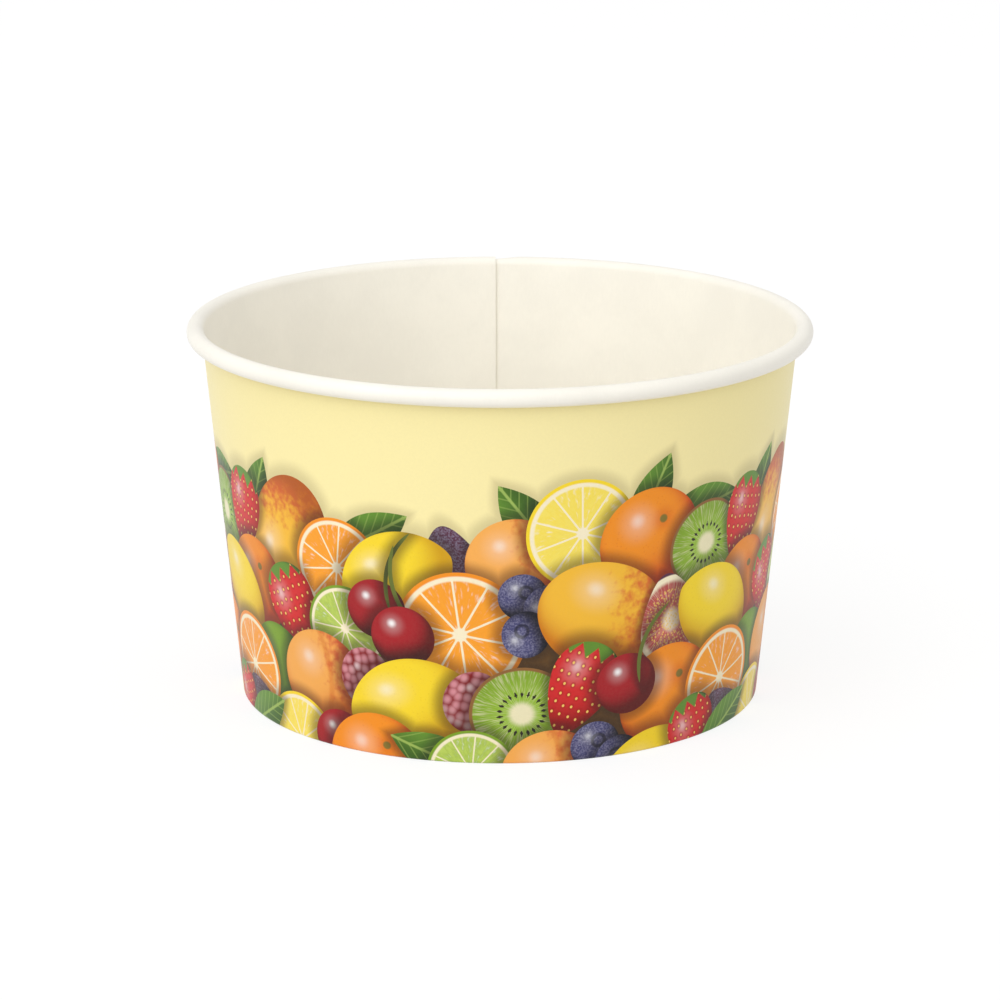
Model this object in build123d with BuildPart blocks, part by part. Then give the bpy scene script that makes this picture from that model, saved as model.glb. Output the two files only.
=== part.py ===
"""A paper ice cream cup of about 300 ml, made of two pieces of coated board.

The side wall is one blank, rolled into a cone and lapped over itself in a side seam at the back. Its
top edge is rolled outwards into the rim, and its foot is folded inwards and up into a hem. The base
disc is drawn like a shallow lid, and its skirt is sealed between the wall and that hem.

Frame: origin at the middle of the base ring, +Z up, the side seam towards +Y.
Lengths are in millimetres and angles in degrees.
"""

import os
from math import acos, atan2, degrees

from build123d import *

# Overall size
rim_diameter = 96.0
base_diameter = 80.2
height = 58.5

# Board
wall_board = 0.4
base_board = 0.35
seal_gap = 0.05

# Rolled rim, in three stretches of flats: its inside, its outside, and under it to the cut edge
curl_diameter = 2.7
curl_end_angle = -110
curl_flats = 3

# Folded foot and the hem inside it
fold_bevel = 0.3
hem_height = 5.2

# Base disc
base_recess = 6.2
disc_bevel = 0.5
skirt_clearance = 0.15

# Side seam, with the azimuth of the blank's inner cut edge
seam_azimuth = 90.9
lap_width = 8.0
ramp_width = 4.0
lap_foot = 0.2

# The section's axes: up along the wall's slope, and into the cup square to the wall
curl_radius = curl_diameter / 2
curl_centre = Vector(rim_diameter / 2 - curl_radius, height - curl_radius)
slope = curl_centre - Vector(base_diameter / 2, 0)
taper = degrees(acos((curl_radius - wall_board) / slope.length) - atan2(slope.Y, slope.X))
up_wall = Vector(0, 1).rotate(Axis.Z, -taper)
into_cup = Vector(-1, 0).rotate(Axis.Z, -taper)

# What follows from the sizes above
skirt_room = base_board + 2 * seal_gap
lap_bottom = wall_board + lap_foot
lap_angle = degrees(lap_width / (rim_diameter / 2))
ramp_angle = degrees(ramp_width / (rim_diameter / 2))
curl_turns = (180 - taper, 90, 0, curl_end_angle)
curl_angles = [
    start + (end - start) * flat / curl_flats
    for start, end in zip(curl_turns, curl_turns[1:])
    for flat in range(curl_flats)
] + [curl_end_angle]


def beside_wall(z, depth):
    """The section's point at height z, at a depth outwards from the wall's inside face."""
    curl_start = curl_centre + into_cup * (curl_radius - depth)
    return curl_start + up_wall * ((z - curl_start.Y) / up_wall.Y)


def curl_corners(depth):
    """The corners of the rolled rim, at a depth into the board from the cup's inside face."""
    return [curl_centre + Vector(curl_radius - depth, 0).rotate(Axis.Z, angle) for angle in curl_angles]


def wall_strip(near, far):
    """The wall between two depths, from just above the fold to the end of the rolled rim."""
    near_face = [beside_wall(lap_bottom, near), *curl_corners(near)]
    far_face = [beside_wall(lap_bottom, far), *curl_corners(far)]
    return near_face + far_face[::-1]


def hem_strip(near, far):
    """The hem between two depths, counted from its skirt side towards the cup's axis."""
    return [
        beside_wall(lap_bottom, -skirt_room - near),
        beside_wall(hem_height, -skirt_room - near),
        beside_wall(hem_height, -skirt_room - far),
        beside_wall(lap_bottom, -skirt_room - far),
    ]


def seam_plane(turn):
    """The upright plane through the cup's axis, turned from the blank's inner cut edge."""
    return Plane.XZ.rotated((0, 0, seam_azimuth + turn))


# The blank's outer end, which climbs a ramp over the inner cut edge and lies on the board beside it
with BuildPart() as lap:
    for strip in (wall_strip, hem_strip):
        for turn, far in ((-ramp_angle, wall_board), (0, 2 * wall_board)):
            with BuildSketch(seam_plane(turn)):
                with BuildLine():
                    Polyline(*strip(wall_board / 2, far), close=True)
                make_face()
        loft(ruled=True)
        with BuildSketch(seam_plane(0)):
            with BuildLine():
                Polyline(*strip(wall_board / 2, 2 * wall_board), close=True)
            make_face()
        revolve(axis=Axis.Z, revolution_arc=lap_angle)

# The space that the climbing board leaves in front of the inner cut edge
with BuildPart() as channel:
    for strip in (wall_strip, hem_strip):
        for turn, far in ((-ramp_angle, 0), (0, wall_board)):
            with BuildSketch(seam_plane(turn)):
                with BuildLine():
                    Polyline(*strip(-wall_board / 2, far), close=True)
                make_face()
        loft(ruled=True)

with BuildPart() as side_wall:
    cup_face = [
        beside_wall(hem_height, -skirt_room),
        beside_wall(wall_board, -skirt_room),
        beside_wall(wall_board, 0),
        *curl_corners(0),
    ]
    printed_face = [
        beside_wall(hem_height, -skirt_room - wall_board),
        beside_wall(fold_bevel, -skirt_room - wall_board),
        beside_wall(0, -skirt_room - wall_board + fold_bevel),
        beside_wall(0, wall_board - fold_bevel),
        beside_wall(fold_bevel, wall_board),
        *curl_corners(wall_board),
    ]
    with BuildSketch(Plane.XZ):
        with BuildLine():
            Polyline(*cup_face, *reversed(printed_face), close=True)
        make_face()
    revolve(axis=Axis.Z)
    add(lap.part)
    add(channel.part, mode=Mode.SUBTRACT)
side_wall.part.label = "side_wall"

with BuildPart() as base_disc:
    disc_top = base_recess + base_board
    skirt_end = wall_board + skirt_clearance
    skirt_outside = -seal_gap
    skirt_inside = skirt_outside - base_board
    with BuildSketch(Plane.XZ):
        with BuildLine():
            Polyline(
                beside_wall(skirt_end, skirt_outside),
                beside_wall(disc_top - disc_bevel, skirt_outside),
                beside_wall(disc_top, skirt_outside - disc_bevel),
                (0, disc_top),
                (0, base_recess),
                beside_wall(base_recess, skirt_inside),
                beside_wall(skirt_end, skirt_inside),
                close=True,
            )
        make_face()
    revolve(axis=Axis.Z)
base_disc.part.label = "base_disc"

os.makedirs("parts", exist_ok=True)
for piece in (side_wall.part, base_disc.part):
    export_step(piece, f"parts/{piece.label}.step")
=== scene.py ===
"""Paper ice cream cup: the printed side wall with its rolled rim, lapped seam and hem, the base disc,
and a white studio stage with the camera."""

from math import acos, atan2, cos, degrees, hypot, pi, radians, sin

import bmesh
import bpy
from mathutils import Matrix, Vector


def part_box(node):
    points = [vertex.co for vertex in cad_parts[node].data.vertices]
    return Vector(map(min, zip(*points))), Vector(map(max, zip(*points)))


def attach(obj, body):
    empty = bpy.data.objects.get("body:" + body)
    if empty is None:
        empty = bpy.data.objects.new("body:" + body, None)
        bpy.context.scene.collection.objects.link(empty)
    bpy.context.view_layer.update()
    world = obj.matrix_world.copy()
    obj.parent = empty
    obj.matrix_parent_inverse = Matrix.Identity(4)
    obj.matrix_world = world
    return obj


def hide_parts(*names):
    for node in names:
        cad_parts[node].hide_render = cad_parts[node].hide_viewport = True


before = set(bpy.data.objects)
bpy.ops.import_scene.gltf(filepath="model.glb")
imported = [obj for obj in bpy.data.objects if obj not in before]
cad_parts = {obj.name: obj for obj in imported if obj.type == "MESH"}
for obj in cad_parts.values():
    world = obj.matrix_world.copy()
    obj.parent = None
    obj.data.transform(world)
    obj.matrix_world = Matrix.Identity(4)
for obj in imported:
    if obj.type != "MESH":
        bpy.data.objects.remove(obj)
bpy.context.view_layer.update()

bl_info = {
    "name": "Paper Ice Cream Cup",
    "version": (1, 0, 0),
    "blender": (4, 5, 0),
    "location": "View3D > Sidebar > Paper Cup",
    "description": "Builds a printed paper ice cream cup with a rolled rim, a lapped seam and a hem",
    "category": "Object",
}

MM = 0.001
BODY = "root"
SMOOTH_ANGLE = radians(40)
WALL_LOW, WALL_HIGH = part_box("side_wall")
RIM_REACH = min(WALL_HIGH.x, WALL_HIGH.y, -WALL_LOW.x, -WALL_LOW.y)


def srgb(red, green, blue):
    """A colour given as 0 to 255 on screen, as the linear values that Blender works in."""
    shares = (red / 255, green / 255, blue / 255)
    return tuple(s / 12.92 if s <= 0.04045 else ((s + 0.055) / 1.055) ** 2.4 for s in shares)


def length(name, description, default):
    """A length that a user may change."""
    return bpy.props.FloatProperty(
        name=name, description=description, default=default, min=0, subtype="DISTANCE", unit="LENGTH"
    )


def turn(name, description, default):
    """An angle that a user may change."""
    return bpy.props.FloatProperty(
        name=name, description=description, default=default, subtype="ANGLE", unit="ROTATION"
    )


def colour(name, description, default):
    """A colour that a user may change."""
    return bpy.props.FloatVectorProperty(
        name=name, description=description, default=default, size=3, min=0, max=1, subtype="COLOR"
    )


def count(name, description, default, least):
    """A number of rows, columns or flats that a user may change."""
    return bpy.props.IntProperty(name=name, description=description, default=default, min=least)


class CupSizes(bpy.types.PropertyGroup):
    """Sizes of the cup's two pieces of board."""

    rim_diameter: length("Rim diameter", "Across the outside of the rolled rim", 2 * RIM_REACH)
    height: length("Height", "From the base ring to the top of the rim", WALL_HIGH.z)
    base_diameter: length("Base diameter", "Across the foot of the wall", 80.2 * MM)
    wall_board: length("Wall board", "Thickness of the side wall's board", 0.4 * MM)
    base_board: length("Base board", "Thickness of the base disc's board", 0.35 * MM)
    seal_gap: length("Seal gap", "Room for the seal on each side of the skirt", 0.05 * MM)
    curl_diameter: length("Curl diameter", "Height of the rolled rim", 2.7 * MM)
    curl_end: turn("Curl end", "Direction from the roll's middle to its cut edge", radians(-110))
    fold_radius: length("Fold radius", "Inside radius of the fold at the foot", 0.06 * MM)
    hem_height: length("Hem height", "Top of the hem above the table", 5.2 * MM)
    base_recess: length("Base recess", "Underside of the base disc above the table", 6.2 * MM)
    disc_bend: length("Disc bend", "Outside radius between the base disc and its skirt", 0.8 * MM)
    skirt_clearance: length("Skirt clearance", "Between the skirt's end and the fold", 0.15 * MM)
    seam_azimuth: turn("Seam azimuth", "Where the blank's inner cut edge stands", radians(90.9))
    lap_width: length("Lap width", "Width of the side seam", 8 * MM)
    ramp_width: length("Ramp width", "Width over which the outer end climbs the inner", 4 * MM)
    lap_foot: length("Lap foot", "Where the lap starts above the fold's slot", 0.2 * MM)


class BoardColours(bpy.types.PropertyGroup):
    """Colours of the board and of the stage."""

    coated: colour("Coated board", "The cup's inside and its rim", srgb(251, 247, 236))
    raw: colour("Raw board", "Cut edges and the underside", srgb(243, 238, 226))
    ground: colour("Print ground", "Yellow ground of the print", srgb(253, 239, 174))
    deep: colour("Deep shade", "Seen between the fruits of the heap", srgb(104, 70, 24))
    stage: colour("Stage", "Floor and background", (1.0, 1.0, 1.0))


class FruitColours(bpy.types.PropertyGroup):
    """Colours of the printed fruits."""

    orange_skin: colour("Orange skin", "Peel of oranges and clementines", srgb(246, 146, 24))
    orange_flesh: colour("Orange flesh", "Cut face of an orange", srgb(252, 164, 40))
    lemon_skin: colour("Lemon skin", "Peel of lemons", srgb(250, 218, 40))
    lemon_flesh: colour("Lemon flesh", "Cut face of a lemon", srgb(250, 228, 100))
    lime_skin: colour("Lime skin", "Peel of limes", srgb(122, 160, 34))
    lime_flesh: colour("Lime flesh", "Cut face of a lime", srgb(190, 212, 96))
    pith: colour("Pith", "White of cut citrus fruits", srgb(252, 240, 206))
    mango_skin: colour("Mango skin", "Skin of mangoes", srgb(248, 190, 52))
    apricot_skin: colour("Apricot skin", "Skin of apricots", srgb(250, 176, 84))
    blush: colour("Blush", "Red cheek of mangoes and apricots", srgb(212, 62, 38))
    cherry_skin: colour("Cherry skin", "Skin of cherries", srgb(166, 22, 32))
    blueberry_skin: colour("Blueberry skin", "Skin of blueberries", srgb(66, 66, 112))
    fig_skin: colour("Fig skin", "Skin of figs", srgb(88, 40, 66))
    fig_flesh: colour("Fig flesh", "Cut face of a fig", srgb(200, 84, 82))
    kiwi_skin: colour("Kiwi skin", "Skin of kiwis", srgb(140, 96, 48))
    kiwi_flesh: colour("Kiwi flesh", "Cut face of a kiwi", srgb(146, 186, 46))
    seed: colour("Seed", "Seeds of kiwis", srgb(36, 26, 16))
    strawberry_skin: colour("Strawberry skin", "Skin of strawberries", srgb(214, 34, 38))
    achene: colour("Strawberry seed", "Seeds of strawberries", srgb(248, 208, 106))
    raspberry_skin: colour("Raspberry skin", "Skin of raspberries", srgb(198, 32, 74))
    leaf: colour("Leaf", "Leaves in the heap", srgb(96, 142, 42))
    leaf_vein: colour("Leaf vein", "Veins of the leaves", srgb(168, 196, 96))
    stem: colour("Stem", "Stems of the cherries", srgb(98, 110, 40))


# The section of the side wall, in the XZ plane


class Section:
    """Places in the upright half section of the cup, as the solids have them."""

    def __init__(self, sizes):
        self.sizes = sizes
        self.curl_radius = sizes.curl_diameter / 2
        self.curl_centre = Vector(
            (sizes.rim_diameter / 2 - self.curl_radius, 0, sizes.height - self.curl_radius)
        )
        across = self.curl_centre.x - sizes.base_diameter / 2
        rise = self.curl_centre.z
        lean = acos((self.curl_radius - sizes.wall_board) / hypot(across, rise))
        self.taper = lean - atan2(rise, across)
        self.up_wall = Vector((sin(self.taper), 0, cos(self.taper)))
        self.into_cup = Vector((-cos(self.taper), 0, sin(self.taper)))
        self.skirt_room = sizes.base_board + 2 * sizes.seal_gap
        self.lap_bottom = sizes.wall_board + sizes.lap_foot
        self.lap_angle = sizes.lap_width / (sizes.rim_diameter / 2)
        self.ramp_angle = sizes.ramp_width / (sizes.rim_diameter / 2)

    def beside_wall(self, z, depth):
        """The point at height z, at a depth outwards from the wall's inside face."""
        start = self.curl_centre + self.into_cup * (self.curl_radius - depth)
        return start + self.up_wall * ((z - start.z) / self.up_wall.z)


# Edit mode steps

SEED_SIZE = 1.0
MERGE_DISTANCE = 2e-6
# Spin turns clockwise about its axis, so these point away from whoever sees the turn as anticlockwise
UPRIGHT = (0, 0, -1)
ACROSS = (0, 1, 0)


def select_points(piece, chosen):
    """Selects the points of the piece in edit mode for which chosen(place) holds."""
    mesh = bmesh.from_edit_mesh(piece.data)
    for part in (*mesh.faces, *mesh.edges, *mesh.verts):
        part.select = False
    for point in mesh.verts:
        point.select = chosen(point.co)
    mesh.select_flush_mode()
    bmesh.update_edit_mesh(piece.data)


def start_profile(name, place):
    """Adds a square and keeps one corner of it, at the start of a profile."""
    bpy.ops.object.select_all(action="DESELECT")
    bpy.ops.mesh.primitive_plane_add(size=SEED_SIZE, location=(0, 0, 0))
    piece = bpy.context.object
    piece.name = name
    piece.data.name = name
    bpy.ops.object.mode_set(mode="EDIT")
    bpy.ops.mesh.select_mode(type="VERT")
    select_points(piece, lambda co: co.x < 0 or co.y < 0)
    bpy.ops.mesh.delete(type="VERT")
    bpy.ops.mesh.select_all(action="SELECT")
    corner = Vector((SEED_SIZE / 2, SEED_SIZE / 2, 0))
    bpy.ops.transform.translate(value=Vector(place) - corner)
    return piece


def draw_line(start, end, steps=1):
    """Draws the profile on in a straight line from the selected point."""
    for _ in range(steps):
        bpy.ops.mesh.extrude_region_move(TRANSFORM_OT_translate={"value": (end - start) / steps})


def draw_arc(centre, angle, steps):
    """Draws the profile on round a centre in its own plane, anticlockwise as seen from the front."""
    bpy.ops.mesh.spin(steps=steps, angle=angle, center=centre, axis=ACROSS)


def turn_profile(angle, steps):
    """Turns the selected profile round the cup's axis."""
    bpy.ops.mesh.spin(steps=steps, angle=angle, center=(0, 0, 0), axis=UPRIGHT)


def face_into_cup(piece):
    """Points the faces to the side of the board that touches the ice cream."""
    bpy.ops.mesh.select_all(action="SELECT")
    bpy.ops.mesh.normals_make_consistent(inside=False)
    mesh = bmesh.from_edit_mesh(piece.data)
    mesh.faces.ensure_lookup_table()
    widest = max(mesh.faces, key=lambda face: face.calc_area())
    centre = widest.calc_center_median()
    outwards = Vector((centre.x, centre.y, 0))
    if widest.normal.dot(outwards) > 0:
        bpy.ops.mesh.flip_normals()


def azimuth_of(co):
    return atan2(co.y, co.x)


def finish_piece(piece, replaced, board, materials):
    """Gives the sheet its materials, for the faces drawn, the other side and the cut edges, and its
    thickness away from the faces drawn, and hangs it in the frame."""
    for material in materials:
        piece.data.materials.append(material)
    bpy.ops.mesh.select_all(action="SELECT")
    bpy.ops.mesh.remove_doubles(threshold=MERGE_DISTANCE)
    bpy.ops.object.mode_set(mode="OBJECT")
    thickness = piece.modifiers.new("Board", "SOLIDIFY")
    thickness.thickness = board
    thickness.offset = -1
    thickness.use_even_offset = True
    thickness.material_offset = 1
    thickness.material_offset_rim = 2
    bpy.ops.object.modifier_apply(modifier=thickness.name)
    bpy.ops.object.shade_smooth_by_angle(angle=SMOOTH_ANGLE)
    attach(piece, BODY)
    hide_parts(replaced)


# Shader expressions


class Wire:
    """One output of a shader node. Arithmetic on it adds Math nodes."""

    def __init__(self, shader, socket):
        self.shader = shader
        self.socket = socket

    def math(self, operation, *values):
        return self.shader.node("ShaderNodeMath", {"operation": operation}, dict(enumerate(values)))

    def __add__(self, other):
        return self.math("ADD", self, other)

    def __sub__(self, other):
        return self.math("SUBTRACT", self, other)

    def __rsub__(self, other):
        return self.math("SUBTRACT", other, self)

    def __mul__(self, other):
        return self.math("MULTIPLY", self, other)

    def __truediv__(self, other):
        return self.math("DIVIDE", self, other)

    def __rtruediv__(self, other):
        return self.math("DIVIDE", other, self)

    def __pow__(self, other):
        return self.math("POWER", self, other)

    def __lt__(self, other):
        return self.math("LESS_THAN", self, other)

    def __gt__(self, other):
        return self.math("GREATER_THAN", self, other)

    def __abs__(self):
        return self.math("ABSOLUTE", self)

    __radd__ = __add__
    __rmul__ = __mul__

    def root(self):
        return self.math("SQRT", self)

    def sine(self):
        return self.math("SINE", self)

    def cosine(self):
        return self.math("COSINE", self)

    def fraction(self):
        return self.math("FRACT", self)

    def clamped(self):
        return self.shader.node("ShaderNodeClamp", {}, {0: self})

    def between(self, low, high, at_low=0.0, at_high=1.0):
        """Goes smoothly from at_low to at_high as this value goes from low to high."""
        inputs = {0: self, 1: low, 2: high, 3: at_low, 4: at_high}
        return self.shader.node("ShaderNodeMapRange", {"interpolation_type": "SMOOTHSTEP"}, inputs)


class Tree:
    """The nodes of a material or of the world."""

    def __init__(self, owner):
        owner.use_nodes = True
        self.tree = owner.node_tree

    def node(self, kind, settings=None, inputs=None, output=0):
        """Adds a node. Its settings are set first, then the values or links of its sockets."""
        made = self.tree.nodes.new(kind)
        for setting, value in (settings or {}).items():
            if setting == "stops":
                self.set_stops(made.color_ramp, value)
            else:
                setattr(made, setting, value)
        for key, value in (inputs or {}).items():
            if isinstance(value, Wire):
                self.tree.links.new(value.socket, made.inputs[key])
            else:
                made.inputs[key].default_value = value
        return Wire(self, made.outputs[output])

    @staticmethod
    def set_stops(ramp, stops):
        """Gives a ramp its stops, which hold their colour up to the next one."""
        ramp.interpolation = "CONSTANT"
        ramp.elements.remove(ramp.elements[1])
        for index, (position, value) in enumerate(stops):
            stop = ramp.elements.new(position) if index else ramp.elements[0]
            stop.color = (*value, 1.0)

    def outputs_of(self, wire, *names):
        """Other outputs of the node that a wire comes from."""
        return [Wire(self, wire.socket.node.outputs[name]) for name in names]


class Shader(Tree):
    """A material's nodes, with its Principled shader at the end."""

    def __init__(self, name):
        self.material = bpy.data.materials.new(name)
        super().__init__(self.material)
        self.surface = self.tree.nodes["Principled BSDF"]

    def set(self, **values):
        """Sets or links the surface shader's sockets, with spaces written as underscores."""
        for name, value in values.items():
            socket = self.surface.inputs[name.replace("_", " ")]
            if isinstance(value, Wire):
                self.tree.links.new(value.socket, socket)
            else:
                socket.default_value = value

    def place(self):
        """Place on the piece in millimetres, as three wires and their vector."""
        metres = self.node("ShaderNodeTexCoord", output="Object")
        vector = self.vector("SCALE", metres, scale=1 / MM)
        parts = self.node("ShaderNodeSeparateXYZ", inputs={0: vector})
        return (*self.outputs_of(parts, "X", "Y", "Z"), vector)

    def vector(self, operation, first, second=None, scale=None, output=0):
        """Arithmetic on vectors."""
        inputs = {0: first}
        if second is not None:
            inputs[1] = second
        if scale is not None:
            inputs["Scale"] = scale
        return self.node("ShaderNodeVectorMath", {"operation": operation}, inputs, output)

    def joined(self, x, y, z=0.0):
        """A vector of three values."""
        return self.node("ShaderNodeCombineXYZ", inputs={0: x, 1: y, 2: z})

    def mix_colour(self, factor, first, second, blend="MIX"):
        colours = [c if isinstance(c, Wire) else (*c, 1.0) for c in (first, second)]
        settings = {"data_type": "RGBA", "blend_type": blend}
        return self.node("ShaderNodeMix", settings, {0: factor, 6: colours[0], 7: colours[1]}, output=2)

    def mix_vector(self, factor, first, second):
        inputs = {0: factor, 4: first, 5: second}
        return self.node("ShaderNodeMix", {"data_type": "VECTOR"}, inputs, output=1)

    def mix_value(self, factor, first, second):
        return self.node("ShaderNodeMix", {"data_type": "FLOAT"}, {0: factor, 2: first, 3: second})

    def noise(self, vector, scale, detail=2.0, roughness=0.5):
        return self.node("ShaderNodeTexNoise", {}, {0: vector, 2: scale, 3: detail, 4: roughness})

    def cells(self, vector, scale, randomness=1.0, dimensions="3D"):
        """Distance from the middle of the nearest cell."""
        inputs = {"Vector": vector, "Scale": scale, "Randomness": randomness}
        return self.node("ShaderNodeTexVoronoi", {"voronoi_dimensions": dimensions}, inputs)

    def stepped(self, position, colours):
        """One of a row of colours, chosen by a position that counts them from 0."""
        stops = [(index / len(colours), value) for index, value in enumerate(colours)]
        return self.node("ShaderNodeValToRGB", {"stops": stops}, {0: position / len(colours)})

    def bump(self, height, strength, distance):
        """Normals of a fine relief."""
        inputs = {"Strength": strength, "Distance": distance, "Height": height}
        return self.node("ShaderNodeBump", {}, inputs)


# Board materials: the scale of their patterns to the millimetre, the stretch of their fibres, and
# the share of the light that their darker parts keep

FIBRES_PER_MM = 2.6
FIBRE_STRETCH = (1.0, 1.0, 0.35)
CLOUDS_PER_MM = 0.09
CLOUD_TONE = 0.955
PULP_FIBRES_PER_MM = 7.0
PULP_FIBRE_STRETCH = (1.0, 1.0, 2.5)
PULP_FIBRE_TONE = 0.86
PULP_FLECKS_PER_MM = 1.4
PULP_FLECK_TONE = 0.8


def darkened(channels, share):
    """A share of a colour's red, green and blue."""
    return tuple(channel * share for channel in channels)


def shared(name, build, *values):
    """The material of that name, built at its first use."""
    return bpy.data.materials.get(name) or build(name, *values)


def coated_board(name, colours):
    """Satin white board with a thin plastic coating, slightly uneven in tone."""
    shader = Shader(name)
    *_, place = shader.place()
    clouds = shader.noise(place, CLOUDS_PER_MM, 3.0)
    fibres = shader.noise(shader.vector("MULTIPLY", place, FIBRE_STRETCH), FIBRES_PER_MM, 4.0, 0.6)
    tone = (clouds * 0.7 + fibres * 0.3).between(0.35, 0.65)
    shader.set(
        Base_Color=shader.mix_colour(tone, darkened(colours.coated, CLOUD_TONE), colours.coated),
        Roughness=fibres.between(0.3, 0.7, 0.36, 0.46),
        Coat_Weight=0.18,
        Coat_Roughness=0.3,
        Specular_IOR_Level=0.4,
        Normal=shader.bump(fibres, 0.12, 0.02 * MM),
    )
    return shader.material


def raw_board(name, colours):
    """Bare pulp board, matt and fibrous, as at a cut edge."""
    shader = Shader(name)
    *_, place = shader.place()
    stretched = shader.vector("MULTIPLY", place, PULP_FIBRE_STRETCH)
    fibres = shader.noise(stretched, PULP_FIBRES_PER_MM, 5.0, 0.65)
    flecks = shader.cells(place, PULP_FLECKS_PER_MM).between(0.04, 0.1)
    fibre_dark = darkened(colours.raw, PULP_FIBRE_TONE)
    pulp = shader.mix_colour(fibres.between(0.35, 0.62), fibre_dark, colours.raw)
    shader.set(
        Base_Color=shader.mix_colour(flecks, darkened(colours.raw, PULP_FLECK_TONE), pulp),
        Roughness=0.85,
        Specular_IOR_Level=0.2,
        Normal=shader.bump(fibres, 0.3, 0.04 * MM),
    )
    return shader.material


# The printed heap of fruit. Kinds are numbered in the order of KINDS, and the number travels with a
# fruit's own coordinates, so that each kind is drawn only once.

# Each kind, its skin's colour, and its second colour, such as that of its flesh or its blush
FRUITS = (
    ("orange_cut", "orange_skin", "orange_flesh"),
    ("lemon_cut", "lemon_skin", "lemon_flesh"),
    ("lime_cut", "lime_skin", "lime_flesh"),
    ("orange", "orange_skin", "orange_skin"),
    ("lemon", "lemon_skin", "lemon_skin"),
    ("lime", "lime_skin", "lime_skin"),
    ("mango", "mango_skin", "blush"),
    ("apricot", "apricot_skin", "blush"),
    ("cherry", "cherry_skin", "cherry_skin"),
    ("blueberry", "blueberry_skin", "blueberry_skin"),
    ("fig", "fig_skin", "fig_skin"),
    ("kiwi_cut", "kiwi_skin", "kiwi_flesh"),
    ("fig_cut", "fig_skin", "fig_flesh"),
    ("strawberry", "strawberry_skin", "achene"),
    ("raspberry", "raspberry_skin", "raspberry_skin"),
    ("leaf", "leaf", "leaf_vein"),
    ("stem", "stem", "stem"),
)
KINDS = ("none", *(kind for kind, _, _ in FRUITS))

# Degrees round the cup after which the heap repeats. Three of them fall a little short of the whole
# turn, as the ends of a printed blank do at its seam.
CELL = 119.6

# Each fruit, from the back of the heap to the front: its kind, degrees round from the front, height of
# its middle in millimetres, half its width and half its height, degrees of tilt, and its tone
HEAP = (
    ("leaf", -57, 36.5, 8.0, 3.4, 64, 0.6),
    ("leaf", -27, 34.5, 8.0, 3.4, 30, 0.5),
    ("leaf", 6, 37.5, 8.0, 3.4, 128, 0.6),
    ("leaf", 30, 40.0, 7.6, 3.2, 66, 0.5),
    ("leaf", 43, 37.5, 8.0, 3.4, 8, 0.6),
    ("mango", -47, 32.0, 10.4, 8.0, 64, 0.6),
    ("orange_cut", -34, 29.0, 7.8, 7.8, 10, 0.6),
    ("fig", -9, 30.0, 6.2, 7.6, 14, 0.6),
    ("lemon", -21, 29.0, 9.4, 6.8, 22, 0.7),
    ("apricot", 3, 31.5, 7.4, 7.2, 0, 0.6),
    ("lemon_cut", 16, 36.0, 8.4, 8.4, 20, 0.6),
    ("orange", 31, 33.5, 8.6, 8.4, 0, 0.6),
    ("kiwi_cut", 45, 31.5, 7.2, 6.8, 20, 0.6),
    ("strawberry", 57, 33.5, 5.8, 7.2, -12, 0.6),
    ("orange", -60, 22.5, 7.8, 7.6, 0, 0.5),
    ("strawberry", -46.5, 20.5, 6.2, 7.6, 24, 0.7),
    ("lime_cut", -33, 19.5, 6.8, 6.8, 0, 0.6),
    ("orange_cut", -8, 20.5, 9.8, 9.8, 25, 0.7),
    ("cherry", -25.5, 23.5, 4.8, 4.6, 0, 0.5),
    ("stem", -22.5, 30.2, 6.6, 0.34, 74, 0.6),
    ("stem", -21.5, 27.0, 6.6, 0.34, 104, 0.6),
    ("cherry", -20, 19.5, 5.0, 4.8, 0, 0.7),
    ("blueberry", 4.5, 26.5, 3.7, 3.6, 0, 0.5),
    ("blueberry", 9.8, 24.5, 3.9, 3.8, 40, 0.7),
    ("blueberry", 5.2, 20.6, 3.7, 3.6, 80, 0.6),
    ("mango", 21.5, 22.5, 10.8, 8.4, -24, 0.7),
    ("fig_cut", 37, 20.5, 6.8, 7.6, 12, 0.6),
    ("lemon", 50, 20.5, 9.2, 6.8, -30, 0.6),
    ("lime", -54, 10.5, 7.6, 6.8, 20, 0.6),
    ("apricot", -40, 10.5, 8.0, 7.8, 0, 0.5),
    ("raspberry", -28.5, 12.0, 4.4, 5.0, 10, 0.6),
    ("lemon", -18.5, 8.5, 10.4, 7.6, 14, 0.8),
    ("raspberry", -5.5, 9.8, 4.5, 5.0, -20, 0.7),
    ("kiwi_cut", 4.5, 8.0, 7.8, 7.4, 0, 0.7),
    ("strawberry", 16.5, 11.5, 6.2, 7.6, -24, 0.6),
    ("orange", 38, 8.0, 8.8, 8.6, 0, 0.6),
    ("cherry", 27, 11.5, 5.0, 4.8, 0, 0.7),
    ("stem", 30.5, 18.0, 6.4, 0.34, 70, 0.6),
    ("orange_cut", 54, 8.5, 8.2, 8.2, 15, 0.6),
    ("fig", -62, 0.5, 6.8, 7.4, 40, 0.6),
    ("lemon_cut", -48, -0.5, 7.6, 7.6, 0, 0.6),
    ("cherry", -36, 1.5, 4.9, 4.7, 0, 0.6),
    ("orange", -27, -1.5, 8.4, 8.2, 0, 0.7),
    ("leaf", -13, 0.8, 8.0, 3.4, -20, 0.6),
    ("lime_cut", -6, -1.5, 6.8, 6.8, 12, 0.6),
    ("apricot", 11, -2.0, 7.6, 7.2, 0, 0.7),
    ("blueberry", 20.5, 2.2, 3.9, 3.8, 0, 0.6),
    ("blueberry", 26.0, -0.5, 3.9, 3.8, 60, 0.7),
    ("lemon", 35, -3.0, 9.2, 6.6, 10, 0.7),
    ("strawberry", 46.5, 0.5, 5.8, 7.0, 20, 0.6),
    ("leaf", 57, 1.0, 7.6, 3.4, 30, 0.6),
)

# Heights in millimetres between which the deep shade behind the heap gives way to the ground
HEAP_FOOT = 24.0
HEAP_EDGE = 29.0

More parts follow.
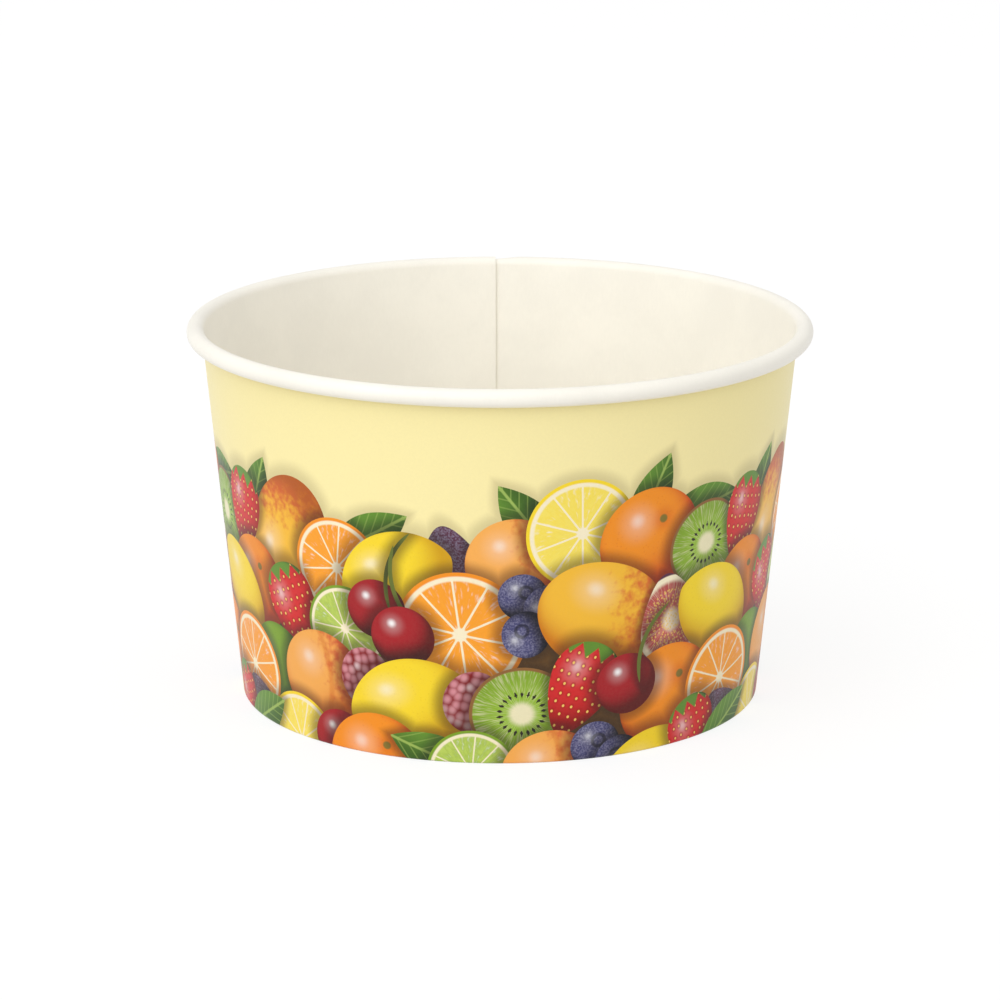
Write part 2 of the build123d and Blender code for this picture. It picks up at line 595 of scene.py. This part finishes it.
# The soft shade that a fruit casts: its width in millimetres, the light left in it, and its colour
SHADE_WIDTH = 2.4
SHADE_DEPTH = 0.36
SHADE_LOST_ON_GROUND = 0.55
SHADE_COLOUR = srgb(70, 44, 26)

# Outlines in a fruit's own coordinates, which run from -1 to 1
STEM_BEND = 6.0
STEM_END = 8
LEMON_POINT = 1.6
STRAWBERRY_NARROWING = 0.3
FIG_NARROWING = -0.26
MIDDLE_WIDTH = 0.8

# How the fruits are drawn
LIGHT_FROM = (-0.38, 0.5, 0.78)
BLUEBERRY_CROWN = (0.12, 0.2)
ORANGE_BUTTON = (0.2, 0.4)
SOFT_GLINT = (-0.3, 0.38)
SHARP_GLINT = (-0.32, 0.42)
CITRUS_SEGMENTS = 10
KIWI_SEEDS = 22
WHITE = (1.0, 1.0, 1.0)
BLACK = (0.0, 0.0, 0.0)
BERRY_BLOOM = srgb(186, 184, 214)
SEPAL_SHADE = (0.02, 0.06, 0.005)


def outline_of(shader, kind, own, number):
    """A value over the fruit's own coordinates, and what that value is at the fruit's outline."""
    if kind not in ("leaf", "stem", "lemon", "lime", "strawberry", "fig", "fig_cut"):
        return shader.vector("DOT_PRODUCT", own, own, output="Value"), 1 + number**2
    parts = shader.node("ShaderNodeSeparateXYZ", inputs={0: own})
    x, y = shader.outputs_of(parts, "X", "Y")
    if kind == "leaf":
        return x * x + abs(y), 1.0
    if kind == "stem":
        return abs(y + x * x * STEM_BEND) + x**STEM_END, 1.0
    if kind in ("lemon", "lime"):
        return x * x + abs(y) ** LEMON_POINT, 1.0
    narrowing = STRAWBERRY_NARROWING if kind == "strawberry" else FIG_NARROWING
    across = x / (y * narrowing + MIDDLE_WIDTH)
    return across * across + y * y, 1.0


def laid_heap(shader, section, degrees_round, wall_radius):
    """Lays the fruits over one another on the flat blank, before it is rolled. Gives the coordinates
    of the fruit that shows, whose third is its number and tone, and the soft shade that the fruits
    in front of it cast."""
    slant = sin(section.taper)
    foot = section.beside_wall(0, section.sizes.wall_board).x / MM / slant
    fan = degrees_round.math("WRAP", degrees_round, CELL / 2, -CELL / 2) * (radians(1) * slant)
    from_apex = wall_radius / slant
    blank = shader.joined(fan.sine() * from_apex, fan.cosine() * from_apex - foot)
    shown = (0.0, 0.0, 0.0)
    clearance = 1.0
    for kind, degrees_at, height_at, half_width, half_height, tilt, tone in HEAP:
        number = KINDS.index(kind) + tone
        extent = degrees((max(half_width, half_height) + SHADE_WIDTH) / (foot * slant))
        spread = SHADE_WIDTH / min(half_width, half_height)
        shade_reach = spread if kind in ("leaf", "stem") else (1 + spread) ** 2 - 1
        for around in (degrees_at - CELL, degrees_at, degrees_at + CELL):
            if abs(around) - extent > CELL / 2:
                continue
            turned = radians(around) * slant
            out = foot + height_at
            own = shader.node(
                "ShaderNodeMapping",
                {"vector_type": "TEXTURE"},
                {
                    "Vector": blank,
                    "Location": (sin(turned) * out, cos(turned) * out - foot, -number),
                    "Rotation": (0.0, 0.0, radians(tilt) - turned),
                    "Scale": (half_width, half_height, 1.0),
                },
            )
            outline, edge = outline_of(shader, kind, own, number)
            inside = outline < edge
            beyond = outline.math("MULTIPLY_ADD", outline, 1 / shade_reach, -edge / shade_reach)
            nearest = beyond.math("MINIMUM", beyond, clearance)
            clearance = shader.mix_value(inside, nearest, 1.0)
            shown = shader.mix_vector(inside, shown, own)
    return shown, clearance.between(0.0, 1.0, SHADE_DEPTH, 1.0)


class HeapPrint:
    """Draws the fruit that shows at each place of the print."""

    def __init__(self, shader, fruit, ground, shown, place):
        self.shader = shader
        self.fruit = fruit
        self.shown = shown
        self.place = place
        parts = shader.node("ShaderNodeSeparateXYZ", inputs={0: shown})
        self.x, self.y, self.number = shader.outputs_of(parts, "X", "Y", "Z")
        squared = self.x * self.x + self.y * self.y
        self.distance = squared.root()
        self.angle = shader.node("ShaderNodeMath", {"operation": "ARCTAN2"}, {0: self.y, 1: self.x})
        self.tone = self.number.fraction()
        towards = (1.0 - squared).clamped().root()
        light_x, light_y, light_z = LIGHT_FROM
        self.light = (self.x * light_x + self.y * light_y + towards * light_z).clamped()
        self.grain = shader.noise(place, 0.9, 2.0)
        self.fine = shader.noise(place, 3.5, 2.0)
        skins = [ground, *(getattr(fruit, skin) for _, skin, _ in FRUITS)]
        accents = [ground, *(getattr(fruit, accent) for _, _, accent in FRUITS)]
        self.skin = shader.stepped(self.number, skins)
        self.accent = shader.stepped(self.number, accents)
        deeper = shader.mix_colour(1.0, self.skin, self.skin, "MULTIPLY")
        self.shadow = shader.mix_colour(0.3, deeper, BLACK)

    def among(self, first, last=None):
        """1 where the fruit is of a kind from first to last in the order of KINDS, and else 0."""
        start = KINDS.index(first)
        end = KINDS.index(last or first) + 1
        return (self.number > start) * (self.number < end)

    def spot(self, at, width):
        """A soft spot on the fruit, from 1 in its middle to 0 at its edge."""
        here = self.shader.joined(self.x, self.y)
        away = self.shader.vector("DISTANCE", here, (*at, 0.0), output="Value")
        return away.between(0.0, width, 1.0, 0.0)

    def ball(self):
        """A whole fruit, lit like a ball from the upper left."""
        shader = self.shader
        drawn = shader.mix_colour(self.light.between(0.05, 0.8), self.shadow, self.skin)
        pores = shader.cells(self.place, 1.5).between(0.1, 0.3, 0.14, 0.0)
        drawn = shader.mix_colour(pores * self.among("orange", "lime"), drawn, self.shadow)
        drawn = self.with_blush(drawn)
        bloom = self.fine.between(0.35, 0.75) * self.light * self.among("blueberry", "fig") * 0.5
        drawn = shader.mix_colour(bloom, drawn, BERRY_BLOOM)
        crown = abs(self.spot(BLUEBERRY_CROWN, 0.5) - 0.5).between(0.1, 0.3, 0.75, 0.0)
        drawn = shader.mix_colour(crown * self.among("blueberry"), drawn, self.shadow)
        is_orange = self.among("orange")
        dimple = self.spot(ORANGE_BUTTON, 0.34) * 0.45
        drawn = shader.mix_colour(dimple * is_orange, drawn, self.shadow)
        button = self.spot(ORANGE_BUTTON, 0.12).between(0.1, 0.5)
        drawn = shader.mix_colour(button * is_orange * 0.85, drawn, self.fruit.stem)
        soft_glint = self.spot(SOFT_GLINT, 0.5) * 0.2
        sharp_glint = self.spot(SHARP_GLINT, 0.2) * (self.among("cherry") * 0.45 + 0.3)
        return shader.mix_colour((soft_glint + sharp_glint).clamped(), drawn, WHITE, "SCREEN")

    def with_blush(self, drawn):
        """Adds the red cheek of mangoes and apricots, and the crease of apricots."""
        shader = self.shader
        x, y = self.x, self.y
        cheek = (x * 0.9 + y * 0.25 + self.grain * 1.4).between(0.75, 1.5) * self.among("mango", "apricot")
        blush = shader.mix_colour(self.light.between(0.05, 0.7, 0.5, 0.0), self.accent, BLACK)
        drawn = shader.mix_colour(cheek * 0.8 * self.light.between(0.0, 0.6, 0.7, 1.0), drawn, blush)
        crease_x = x - (1.0 - y * y) * 0.22
        crease = abs(crease_x).between(0.02, 0.1, 0.4, 0.0) * self.among("apricot")
        return shader.mix_colour(crease, drawn, self.shadow)

    def cut_citrus(self):
        """Juice sacs between walls of pith."""
        shader = self.shader
        around = self.angle * (CITRUS_SEGMENTS / 2)
        walls = abs(around.sine()) * self.distance
        sacs = shader.noise(shader.joined(around, self.distance * 2.2, self.tone), 2.4, 2.0)
        riper = shader.mix_colour(0.4, self.accent, self.skin)
        juice = shader.mix_colour(sacs.between(0.3, 0.7), self.accent, riper)
        juice = shader.mix_colour(sacs.between(0.55, 0.8) * 0.5, juice, WHITE, "SCREEN")
        pith = 1.0 - walls.between(0.05, 0.11)
        pith = pith + self.distance.between(0.84, 0.88)
        pith = pith + (1.0 - self.distance.between(0.08, 0.13))
        return self.in_skin(shader.mix_colour(pith.clamped(), juice, self.fruit.pith))

    def cut_flesh(self):
        """Flesh round a pale core, with the seeds of kiwis or of figs."""
        shader = self.shader
        distance = self.distance
        rays = shader.noise(shader.joined(self.angle * 9.0, distance, self.tone), 3.0)
        darker = shader.mix_colour(0.5, self.accent, BLACK)
        drawn = shader.mix_colour(distance.between(0.3, 0.95) * 0.5, self.accent, darker)
        drawn = shader.mix_colour(rays.between(0.45, 0.7) * 0.4, drawn, self.fruit.pith)
        core = 1.0 - distance.between(0.16, 0.32)
        drawn = shader.mix_colour(core * 0.85, drawn, self.fruit.pith)
        seed_turn = abs((self.angle * (KIWI_SEEDS / (2 * pi))).fraction() - 0.5)
        seed_ring = abs(distance - 0.42 - self.fine * 0.1 + 0.05)
        seeds = (1.0 - (seed_turn * 0.24 + seed_ring).between(0.055, 0.08)) * self.among("kiwi_cut")
        drawn = shader.mix_colour(seeds, drawn, self.fruit.seed)
        is_fig = self.among("fig_cut")
        drawn = shader.mix_colour(distance.between(0.74, 0.86) * is_fig, drawn, self.fruit.pith)
        grains = shader.cells(self.shown, 13.0, 1.0, "2D").between(0.2, 0.32, 0.8, 0.0)
        fig_seeds = grains * distance.between(0.62, 0.72, 1.0, 0.0) * is_fig
        return self.in_skin(shader.mix_colour(fig_seeds, drawn, self.fruit.achene))

    def in_skin(self, drawn):
        """Closes a cut face with the edge of its skin."""
        return self.shader.mix_colour(self.distance.between(0.92, 0.95), drawn, self.skin)

    def berry(self, ball):
        """A strawberry with its seeds and sepals, or a raspberry."""
        shader = self.shader
        pips = shader.cells(self.shown, 4.6, 0.25, "2D")
        drawn = shader.mix_colour(pips.between(0.16, 0.42, 0.5, 0.0), ball, self.shadow)
        drawn = shader.mix_colour(pips.between(0.1, 0.17, 1.0, 0.0), drawn, self.accent)
        sepals = abs((self.x * 2.3).fraction() - 0.5) * 0.55 + 0.6
        green = shader.mix_colour(self.light.between(0.1, 0.7), SEPAL_SHADE, self.fruit.leaf)
        drawn = shader.mix_colour((self.y - sepals).between(0.0, 0.05), drawn, green)
        drupes = shader.cells(self.shown, 3.4, 0.5, "2D")
        paler = shader.mix_colour(0.25, ball, WHITE)
        raspberry = shader.mix_colour(drupes.between(0.1, 0.75), paler, self.shadow)
        return shader.mix_colour(self.among("raspberry"), drawn, raspberry)

    def leaf(self):
        """A leaf with its midrib and side veins."""
        shader = self.shader
        x, y = self.x, self.y
        midrib = abs(y).between(0.03, 0.09, 1.0, 0.0)
        side = abs((x * 4.0 - abs(y) * 2.2).fraction() - 0.5).between(0.03, 0.12, 1.0, 0.0)
        blade = shader.mix_colour(y.between(-0.6, 0.8, 0.3, 1.0), self.shadow, self.skin)
        return shader.mix_colour((midrib + side * 0.5).clamped() * 0.8, blade, self.accent)

    def drawn(self):
        """The fruit, drawn after its kind."""
        ball = self.ball()
        others = (
            ("orange_cut", "lime_cut", self.cut_citrus()),
            ("kiwi_cut", "fig_cut", self.cut_flesh()),
            ("strawberry", "raspberry", self.berry(ball)),
            ("leaf", "leaf", self.leaf()),
            ("stem", "stem", self.fruit.stem),
        )
        drawn = ball
        for first, last, other in others:
            drawn = self.shader.mix_colour(self.among(first, last), drawn, other)
        return self.shader.mix_colour((0.55 - self.tone).clamped() * 0.8, drawn, BLACK)


def printed_heap(shader, colours, fruit, section, degrees_round, wall_radius, height, place):
    """Colour of the print: the heap of fruits on its ground."""
    shown, shade = laid_heap(shader, section, degrees_round, wall_radius)
    heap = HeapPrint(shader, fruit, colours.ground, shown, place)
    behind = shader.mix_colour(height.between(HEAP_FOOT, HEAP_EDGE), colours.deep, colours.ground)
    drawn = shader.mix_colour(heap.number > 0.5, behind, heap.drawn())
    lost = height.between(HEAP_FOOT, HEAP_EDGE, 0.0, SHADE_LOST_ON_GROUND) * (heap.number < 0.5)
    shade_colour = shader.mix_colour(shade + (1.0 - shade) * lost, SHADE_COLOUR, WHITE)
    return shader.mix_colour(1.0, drawn, shade_colour, "MULTIPLY")


# The inner face of the hem: how far it stands back from the wall's outer face, the foot of its
# knurling in millimetres, and its knurls in a degree round
HEM_BACK = 0.75
KNURL_FOOT = 1.2
KNURLS_PER_DEGREE = 0.8
INK_FIBRE = (0.35, 0.3, 0.2)


def printed_board(colours, fruit, section):
    """The outer side of the board: the print on the wall, and bare board inside the hem."""
    shader = Shader("printed_board")
    x, y, z, place = shader.place()
    radius = (x * x + y * y).root()
    from_front = shader.node("ShaderNodeMath", {"operation": "ARCTAN2"}, {0: x, 1: 0.0 - y})
    from_front = from_front * degrees(1)
    print_end = degrees(section.sizes.seam_azimuth + section.lap_angle) + 90
    degrees_round = from_front.math("WRAP", from_front, print_end, print_end - 360)
    foot = section.beside_wall(0, section.sizes.wall_board) / MM
    lean = section.up_wall.x / section.up_wall.z
    wall_radius = z * lean + foot.x
    height = z / section.up_wall.z
    heap = printed_heap(shader, colours, fruit, section, degrees_round, wall_radius, height, place)
    fibres = shader.noise(place, FIBRES_PER_MM, 4.0, 0.6)
    ink = shader.mix_colour(fibres.between(0.3, 0.7) * 0.03, heap, INK_FIBRE)
    on_hem = (wall_radius - radius) > HEM_BACK
    knurl = abs((degrees_round * KNURLS_PER_DEGREE).fraction() - 0.5) * on_hem * (z > KNURL_FOOT)
    relief = knurl * 2.0 + fibres * 0.12
    shader.set(
        Base_Color=shader.mix_colour(on_hem, ink, colours.raw),
        Roughness=fibres.between(0.3, 0.7, 0.34, 0.44),
        Coat_Weight=0.06,
        Coat_Roughness=0.35,
        Specular_IOR_Level=0.28,
        Normal=shader.bump(relief, 0.5, 0.08 * MM),
    )
    return shader.material


# Operators

# How near a column of the sheet its points lie, in radians, and the rows up the hem and the skirt
AZIMUTH_TOLERANCE = 1e-4
HEM_ROWS = 3
SKIRT_ROWS = 3


class CUP_OT_side_wall(bpy.types.Operator):
    """Rolls the printed side wall with its rim, side seam and hem."""

    bl_idname = "cup.side_wall"
    bl_label = "Side Wall"

    curl_steps: count("Curl steps", "Flats round the roll", 28, 3)
    wall_rows: count("Wall rows", "Rows up the wall", 8, 1)
    fold_steps: count("Fold steps", "Flats round each fold", 5, 1)
    columns: count("Columns", "Columns round the cup", 240, 12)
    ramp_steps: count("Ramp steps", "Columns of the ramp", 5, 1)
    lap_steps: count("Lap steps", "Columns of the lap", 8, 1)

    def execute(self, context):
        scene = context.scene
        sizes = scene.cup_sizes
        section = Section(sizes)
        piece = self.draw_profile(section)
        self.roll(piece, section)
        self.close_fold(piece, section)
        self.lap(piece, section)
        colours = scene.board_colours
        coated = shared("coated_board", coated_board, colours)
        printed = printed_board(colours, scene.fruit_colours, section)
        raw = shared("raw_board", raw_board, colours)
        finish_piece(piece, "side_wall", sizes.wall_board, (coated, printed, raw))
        return {"FINISHED"}

    def draw_profile(self, section):
        """The inside face of the board, from the roll's cut edge down the wall to the hem's top."""
        sizes = section.sizes
        spoke = Vector((cos(sizes.curl_end), 0, sin(sizes.curl_end))) * section.curl_radius
        piece = start_profile("printed_side_wall", section.curl_centre + spoke)
        roll = pi - section.taper - sizes.curl_end
        draw_arc(section.curl_centre, roll, self.curl_steps)
        wall_top = section.curl_centre + section.into_cup * section.curl_radius
        lap_start = section.beside_wall(section.lap_bottom, 0)
        draw_line(wall_top, lap_start, self.wall_rows)
        slot = sizes.wall_board
        bend = sizes.fold_radius
        wall_bend = section.beside_wall(slot + bend, -bend)
        hem_bend = section.beside_wall(slot + bend, bend - section.skirt_room)
        to_hem = section.into_cup * bend
        down = Vector((0, 0, -bend))
        draw_line(lap_start, wall_bend - to_hem)
        draw_arc(wall_bend, section.taper - pi / 2, self.fold_steps)
        draw_line(wall_bend + down, hem_bend + down)
        draw_arc(hem_bend, -section.taper - pi / 2, self.fold_steps)
        hem_start = section.beside_wall(section.lap_bottom, -section.skirt_room)
        draw_line(hem_bend + to_hem, hem_start)
        hem_top = section.beside_wall(sizes.hem_height, -section.skirt_room)
        draw_line(hem_start, hem_top, HEM_ROWS)
        return piece

    def roll(self, piece, section):
        """Turns the profile round, from the inner cut edge to the foot of the ramp."""
        bpy.ops.mesh.select_all(action="SELECT")
        seam = section.sizes.seam_azimuth
        mesh = bmesh.from_edit_mesh(piece.data)
        bmesh.ops.rotate(mesh, verts=mesh.verts, cent=(0, 0, 0), matrix=Matrix.Rotation(seam, 3, "Z"))
        bmesh.update_edit_mesh(piece.data)
        turn_profile(2 * pi - section.ramp_angle, self.columns)
        face_into_cup(piece)

    def select_end(self, piece, section, chosen):
        """Selects those points of the rolled sheet's last column for which chosen(place) holds."""
        end = section.sizes.seam_azimuth - section.ramp_angle
        select_points(piece, lambda co: abs(azimuth_of(co) - end) < AZIMUTH_TOLERANCE and chosen(co))

    def close_fold(self, piece, section):
        """Carries the fold at the foot on to the inner cut edge, under the ramp."""
        self.select_end(piece, section, lambda co: co.z < section.lap_bottom + MERGE_DISTANCE)
        turn_profile(section.ramp_angle, self.ramp_steps)

    def lap(self, piece, section):
        """Lifts the wall and the hem over the inner cut edge, and laps them over the board there."""
        board = section.sizes.wall_board
        bottom = section.lap_bottom - MERGE_DISTANCE

        def is_hem(co):
            inner = section.beside_wall(co.z, -section.skirt_room / 2)
            return hypot(co.x, co.y) < inner.x and co.z < section.sizes.hem_height + MERGE_DISTANCE

        for chosen in (lambda co: not is_hem(co), is_hem):
            self.select_end(piece, section, lambda co: co.z > bottom and chosen(co))
            for _ in range(self.ramp_steps):
                turn_profile(section.ramp_angle / self.ramp_steps, 1)
                bpy.ops.transform.shrink_fatten(value=-board / self.ramp_steps)
            turn_profile(section.lap_angle, self.lap_steps)


class CUP_OT_base_disc(bpy.types.Operator):
    """Draws the base disc like a shallow lid, with its skirt in the hem."""

    bl_idname = "cup.base_disc"
    bl_label = "Base Disc"

    columns: count("Columns", "Columns round the disc", 192, 12)
    bend_steps: count("Bend steps", "Flats round the bend", 8, 1)
    rings: count("Rings", "Rings across the disc", 10, 1)

    def execute(self, context):
        scene = context.scene
        sizes = scene.cup_sizes
        section = Section(sizes)
        top = sizes.base_recess + sizes.base_board
        bend = section.beside_wall(top - sizes.disc_bend, -sizes.seal_gap - sizes.disc_bend)
        skirt_end = section.beside_wall(sizes.wall_board + sizes.skirt_clearance, -sizes.seal_gap)
        middle = Vector((0, 0, top))
        piece = start_profile("base_disc_board", middle)
        draw_line(middle, Vector((bend.x, 0, top)), self.rings)
        draw_arc(bend, -section.taper - pi / 2, self.bend_steps)
        draw_line(bend - section.into_cup * sizes.disc_bend, skirt_end, SKIRT_ROWS)
        bpy.ops.mesh.select_all(action="SELECT")
        turn_profile(2 * pi, self.columns)
        bpy.ops.mesh.select_all(action="SELECT")
        bpy.ops.mesh.remove_doubles(threshold=MERGE_DISTANCE)
        bpy.ops.mesh.normals_make_consistent(inside=False)
        mesh = bmesh.from_edit_mesh(piece.data)
        flat = max(mesh.faces, key=lambda face: abs(face.normal.z))
        if flat.normal.z < 0:
            bpy.ops.mesh.flip_normals()
        coated = shared("coated_board", coated_board, scene.board_colours)
        raw = shared("raw_board", raw_board, scene.board_colours)
        finish_piece(piece, "base_disc", sizes.base_board, (coated, raw, raw))
        return {"FINISHED"}


# The camera's height angle, distance and aim, in metres, and its lens, as fitted to the photo
CAMERA_ELEVATION = radians(15.01)
CAMERA_DISTANCE = 0.6506
CAMERA_TARGET = Vector((0, 0, 0.02965))
CAMERA_LENS = 150.95
CAMERA_SENSOR = 36

# Each lamp's name, place and width in metres, and its power in watts
LAMPS = (
    ("key_lamp", (-0.75, -1.2, 0.85), 1.4, 9.2),
    ("left_lamp", (-0.5, -0.35, 1.45), 0.8, 3.0),
    ("fill_lamp", (0.9, -1.0, 0.8), 0.9, 0.4),
)

# Strength of the world's light on the cup. To the camera the world is white.
WORLD_STRENGTH = 0.76

# The floor's reflection, and the white that is mixed into it where the camera sees it
FLOOR_REFLECTION = 0.75
FLOOR_GLOW = 1.12
FLOOR_GLOW_SHARE = 0.74


def add_lamp(name, place, size, power):
    """Adds a square soft lamp that points at the cup."""
    bpy.ops.object.light_add(type="AREA", location=place)
    lamp = bpy.context.object
    lamp.name = name
    lamp.data.size = size
    lamp.data.energy = power
    lamp.rotation_euler = (CAMERA_TARGET - lamp.location).to_track_quat("-Z", "Y").to_euler()


def stage_material(colours):
    """White to the camera where nothing shades it, and a plain white floor to the cup."""
    shader = Shader("stage_white")
    matt = darkened(colours.stage, FLOOR_REFLECTION)
    shader.set(Base_Color=(*matt, 1.0), Roughness=1.0, Specular_IOR_Level=0.0)
    ray = shader.node("ShaderNodeLightPath")
    seen, glossy, through = shader.outputs_of(ray, "Is Camera Ray", "Is Glossy Ray", "Is Transmission Ray")
    share = (seen + glossy + through).clamped() * FLOOR_GLOW_SHARE
    plain = Wire(shader, shader.surface.outputs[0])
    glow = shader.node("ShaderNodeEmission", {}, {0: (*colours.stage, 1.0), 1: FLOOR_GLOW})
    mixed = shader.node("ShaderNodeMixShader", {}, {0: share, 1: plain, 2: glow})
    shader.tree.links.new(mixed.socket, shader.tree.nodes["Material Output"].inputs["Surface"])
    return shader.material


class CUP_OT_stage(bpy.types.Operator):
    """Sets up the white floor, the soft studio light and the camera."""

    bl_idname = "cup.stage"
    bl_label = "Stage"

    floor_size: length("Floor size", "Side of the square floor", 8.0)

    def execute(self, context):
        scene = context.scene
        bpy.ops.object.select_all(action="DESELECT")
        bpy.ops.mesh.primitive_plane_add(size=self.floor_size, location=(0, 0, 0))
        floor = context.object
        floor.name = "floor"
        floor.data.materials.append(stage_material(scene.board_colours))
        for lamp in LAMPS:
            add_lamp(*lamp)
        self.light_world(scene)
        self.place_camera(scene)
        scene.view_settings.view_transform = "Standard"
        return {"FINISHED"}

    def light_world(self, scene):
        """Lights the cup evenly from all round, before a white background."""
        scene.world = bpy.data.worlds.new("studio")
        studio = Tree(scene.world)
        background = studio.tree.nodes["Background"]
        background.inputs["Color"].default_value = (1, 1, 1, 1)
        seen = studio.node("ShaderNodeLightPath", output="Is Camera Ray")
        strength = seen * (1 - WORLD_STRENGTH) + WORLD_STRENGTH
        studio.tree.links.new(strength.socket, background.inputs["Strength"])

    def place_camera(self, scene):
        """Stands the camera in front of the cup, where it stood for the photo."""
        back = Vector((0, -cos(CAMERA_ELEVATION), sin(CAMERA_ELEVATION)))
        bpy.ops.object.camera_add(location=CAMERA_TARGET + back * CAMERA_DISTANCE)
        camera = bpy.context.object
        camera.name = "camera"
        camera.rotation_euler = (-back).to_track_quat("-Z", "Y").to_euler()
        camera.data.lens = CAMERA_LENS
        camera.data.sensor_width = CAMERA_SENSOR
        scene.camera = camera


class CUP_PT_sidebar(bpy.types.Panel):
    """Lists the cup's sizes, colours and building steps."""

    bl_idname = "CUP_PT_sidebar"
    bl_label = "Paper Cup"
    bl_space_type = "VIEW_3D"
    bl_region_type = "UI"
    bl_category = "Paper Cup"

    def draw(self, context):
        layout = self.layout
        for operator in (CUP_OT_side_wall, CUP_OT_base_disc, CUP_OT_stage):
            layout.operator(operator.bl_idname)
        for group in (context.scene.cup_sizes, context.scene.board_colours, context.scene.fruit_colours):
            box = layout.box()
            for name in group.bl_rna.properties.keys():
                if name not in ("rna_type", "name"):
                    box.prop(group, name)


CLASSES = (
    CupSizes,
    BoardColours,
    FruitColours,
    CUP_OT_side_wall,
    CUP_OT_base_disc,
    CUP_OT_stage,
    CUP_PT_sidebar,
)


def register():
    for made in CLASSES:
        bpy.utils.register_class(made)
    bpy.types.Scene.cup_sizes = bpy.props.PointerProperty(type=CupSizes)
    bpy.types.Scene.board_colours = bpy.props.PointerProperty(type=BoardColours)
    bpy.types.Scene.fruit_colours = bpy.props.PointerProperty(type=FruitColours)


def unregister():
    del bpy.types.Scene.fruit_colours
    del bpy.types.Scene.board_colours
    del bpy.types.Scene.cup_sizes
    for made in reversed(CLASSES):
        bpy.utils.unregister_class(made)


def main():
    register()
    bpy.ops.cup.side_wall()
    bpy.ops.cup.base_disc()
    bpy.ops.cup.stage()


if __name__ == "__main__":
    main()
